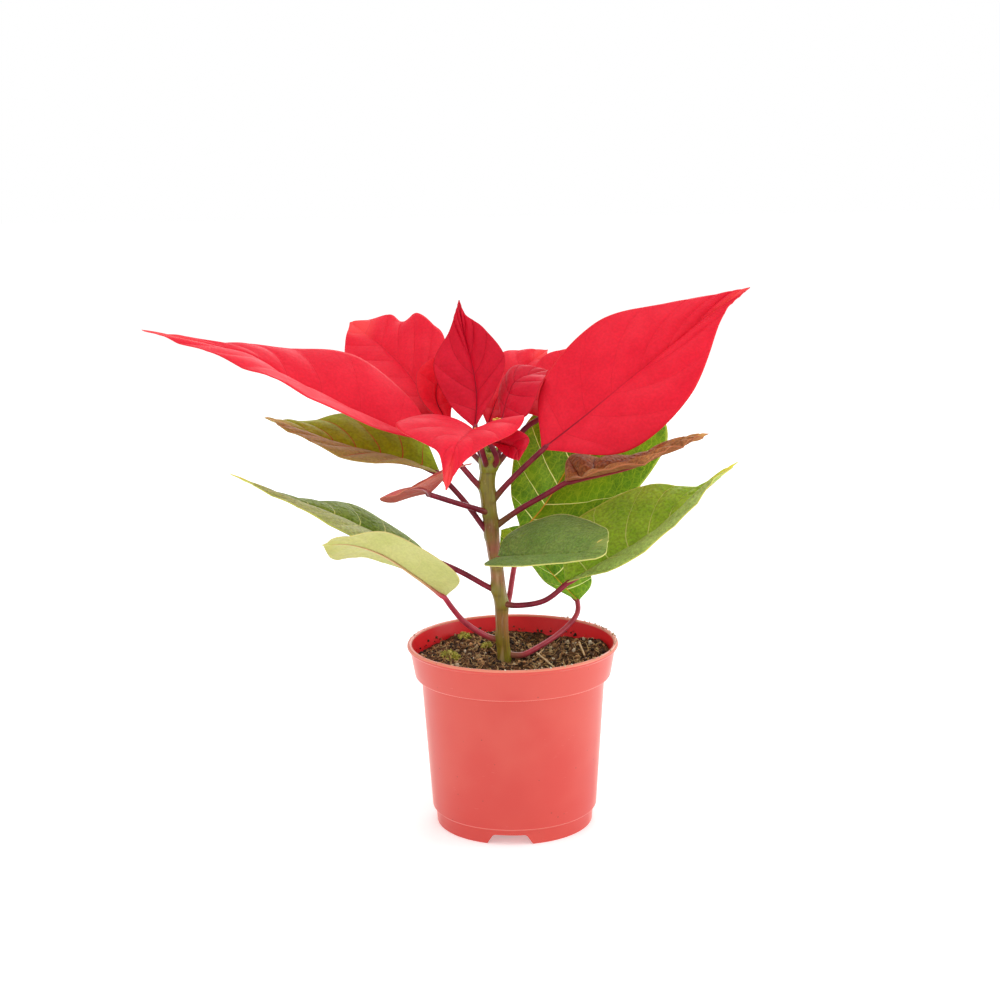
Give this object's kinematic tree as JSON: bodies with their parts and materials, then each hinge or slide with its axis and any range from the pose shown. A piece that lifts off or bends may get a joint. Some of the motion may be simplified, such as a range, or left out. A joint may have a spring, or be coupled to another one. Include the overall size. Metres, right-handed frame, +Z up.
{
  "type": "potted poinsettia",
  "caption": "Young poinsettia with red bracts and green leaves on one leafy stem, standing in peat in a round tapered nursery pot with a rim band.",
  "frame": {"origin": "centre of the whole plant's box on the floor, level with the underside of the pot's foot ring", "axes": "+Z up; X runs along the plant's longest spread, from the long left bract to the big right bract; the picture looks along +Y"},
  "size_m": [0.2912, 0.1557, 0.2644],
  "materials": {
    "pot_red": "satin",
    "peat": "matte",
    "stem_green": "satin",
    "stalk_red": "satin",
    "bract_red": "satin",
    "bract_dark": "satin",
    "leaf_green": "satin",
    "leaf_pale": "satin",
    "leaf_brown": "satin",
    "cup_red": "satin",
    "gland_yellow": "satin"
  },
  "bodies": {
    "root": {"pot": "pot_red", "soil": "peat", "stem": "stem_green", "bract_left": "bract_red", "bract_left_stalk": "stalk_red", "bract_back_left": "bract_red", "bract_back_left_stalk": "stalk_red", "bract_behind": "bract_dark", "bract_behind_stalk": "stalk_red", "bract_upright": "bract_dark", "bract_upright_stalk": "stalk_red", "bract_front": "bract_red", "bract_front_stalk": "stalk_red", "bract_front_right": "bract_dark", "bract_front_right_stalk": "stalk_red", "bract_right": "bract_red", "bract_right_stalk": "stalk_red", "bract_back_right": "bract_red", "bract_back_right_stalk": "stalk_red", "bract_inner_right": "bract_dark", "bract_inner_right_stalk": "stalk_red", "bract_behind_right": "bract_red", "bract_behind_right_stalk": "stalk_red", "leaf_upper_left": "leaf_green", "leaf_upper_left_stalk": "stalk_red", "leaf_mid_left": "leaf_green", "leaf_mid_left_stalk": "stalk_red", "leaf_low_left": "leaf_pale", "leaf_low_left_stalk": "stalk_red", "leaf_back_right": "leaf_green", "leaf_back_right_stalk": "stalk_red", "leaf_brown_right": "leaf_brown", "leaf_brown_right_stalk": "stalk_red", "leaf_low_right": "leaf_green", "leaf_low_right_stalk": "stalk_red", "leaf_front": "leaf_green", "leaf_front_stalk": "stalk_red", "leaf_low_back": "leaf_green", "leaf_low_back_stalk": "stalk_red", "leaf_small_left": "leaf_brown", "leaf_small_left_stalk": "stalk_red", "cyathium": "cup_red", "cyathium_glands": "gland_yellow", "cyathium_left": "cup_red", "cyathium_left_glands": "gland_yellow"}
  },
  "joints": []
}
